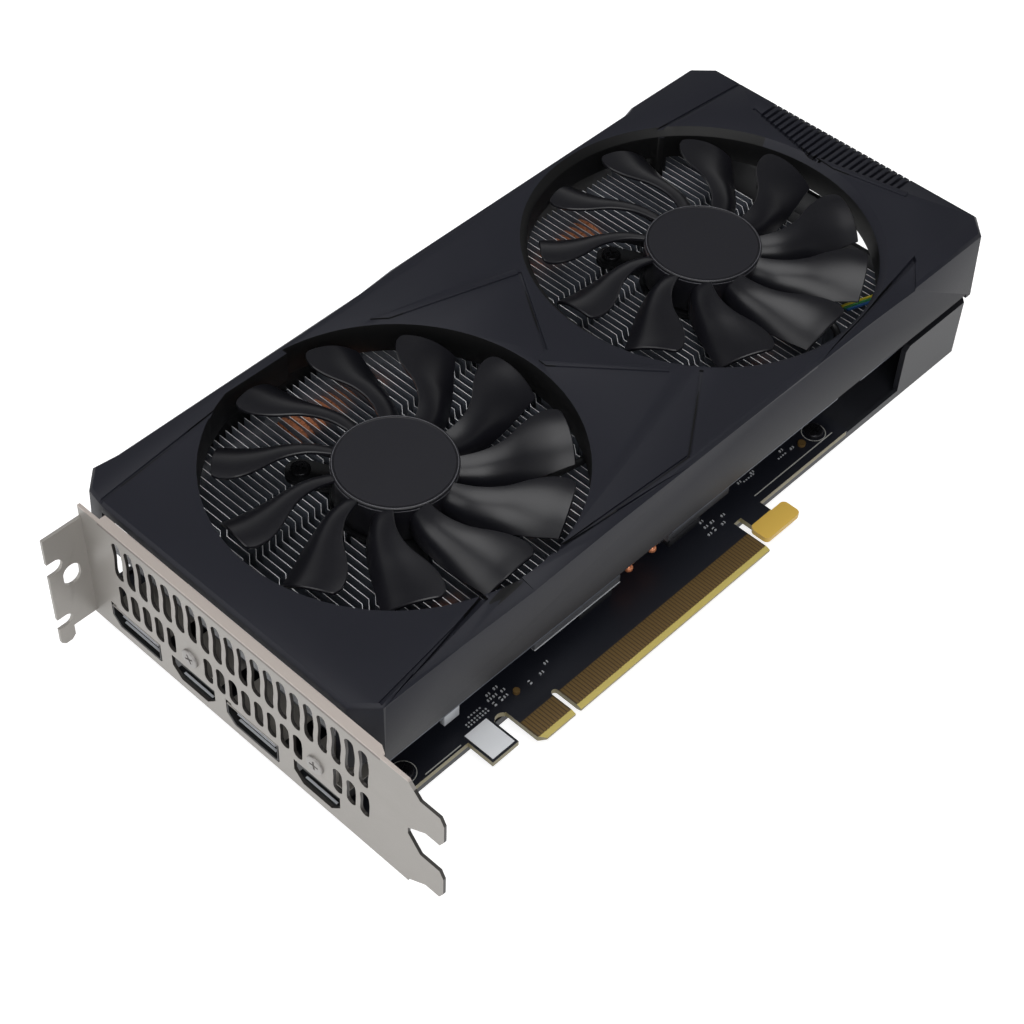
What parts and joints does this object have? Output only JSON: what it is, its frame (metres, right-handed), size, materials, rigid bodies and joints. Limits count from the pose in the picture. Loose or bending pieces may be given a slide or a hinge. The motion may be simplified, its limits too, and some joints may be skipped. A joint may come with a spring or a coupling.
{
  "type": "graphics card",
  "caption": "Dual-slot graphics card with two bladed fans in a faceted shroud, a finned heat-pipe cooler, a card-edge connector and a vented bracket.",
  "frame": {"origin": "middle of the key notch of the edge connector, at the connector's tip and halfway through the board", "axes": "+X from the bracket to the far end, +Y from the edge connector to the opposite edge, +Z out through the fans"},
  "size_m": [0.2512, 0.1322, 0.0429],
  "materials": {
    "shroud_plastic": "moulded, fine matt grain",
    "blade_plastic": "satin moulded",
    "disc_film": "matt black film",
    "backplate_paint": "matt black coat",
    "bracket_steel": "plated sheet steel, satin",
    "screw_steel": "nickel-plated steel",
    "board_laminate": "black solder mask",
    "contact_gold": "gold-plated contacts",
    "tinned_metal": "tinned copper",
    "fin_aluminium": "bare sheet",
    "plate_aluminium": "cast and milled",
    "copper": "copper pipe, sintered inside",
    "nickelled_copper": "nickel-plated copper",
    "socket_steel": "plated socket shell",
    "insulator_plastic": "black moulding",
    "chip_resin": "black chip resin",
    "substrate": "green package laminate",
    "silicon": "polished die",
    "thermal_pad": "soft grey pad",
    "ferrite": "pressed ferrite powder",
    "capacitor_can": "polymer capacitor can",
    "connector_plastic": "black nylon",
    "magnet_ferrite": "bonded ferrite strip",
    "motor_steel": "pressed and stacked steel",
    "bearing_bronze": "sintered sleeve",
    "lead_sleeve": "woven black sleeve"
  },
  "bodies": {
    "card": {"fan_shroud": "shroud_plastic", "shroud_screws": "screw_steel", "backplate": "backplate_paint", "board_screws": "screw_steel", "circuit_board": "board_laminate", "edge_contacts": "contact_gold", "tinned_pad": "tinned_metal", "io_bracket": "bracket_steel", "bracket_screws": "screw_steel", "displayport_shell_1": "socket_steel", "displayport_shell_2": "socket_steel", "displayport_insert_1": "insulator_plastic", "displayport_insert_2": "insulator_plastic", "hdmi_shell_1": "socket_steel", "hdmi_shell_2": "socket_steel", "hdmi_insert_1": "insulator_plastic", "hdmi_insert_2": "insulator_plastic", "fin_stack": "fin_aluminium", "cold_plate": "nickelled_copper", "cooler_side_plates": "plate_aluminium", "power_stage_plate": "plate_aluminium", "front_left_heat_pipe": "copper", "front_right_heat_pipe": "copper", "back_left_heat_pipe": "copper", "back_right_heat_pipe": "copper", "cooler_screws": "screw_steel", "gpu_package": "substrate", "gpu_die": "silicon", "memory_chips": "chip_resin", "memory_pads": "thermal_pad", "power_stages": "chip_resin", "power_stage_pads": "thermal_pad", "power_inductors": "ferrite", "capacitors": "capacitor_can", "power_connector": "connector_plastic", "fan_header": "connector_plastic", "near_fan_lead": "lead_sleeve", "far_fan_lead": "lead_sleeve", "fan_posts": "plate_aluminium", "fan_screws": "screw_steel", "near_bearing": "bearing_bronze", "near_motor_base": "connector_plastic", "near_stator": "motor_steel", "far_bearing": "bearing_bronze", "far_motor_base": "connector_plastic", "far_stator": "motor_steel"},
    "near_fan": {"near_rotor": "blade_plastic", "near_hub_disc": "disc_film", "near_yoke": "motor_steel", "near_magnet": "magnet_ferrite", "near_shaft": "motor_steel"},
    "far_fan": {"far_rotor": "blade_plastic", "far_hub_disc": "disc_film", "far_yoke": "motor_steel", "far_magnet": "magnet_ferrite", "far_shaft": "motor_steel"}
  },
  "joints": [
    {"name": "near_fan_spin", "type": "hinge", "parent": "card", "child": "near_fan", "pos_m": [0.0024, 0.0645, 0.02578], "axis": [0, 0, 1], "continuous": true},
    {"name": "far_fan_spin", "type": "hinge", "parent": "card", "child": "far_fan", "pos_m": [0.1171, 0.0645, 0.02578], "axis": [0, 0, 1], "continuous": true}
  ]
}
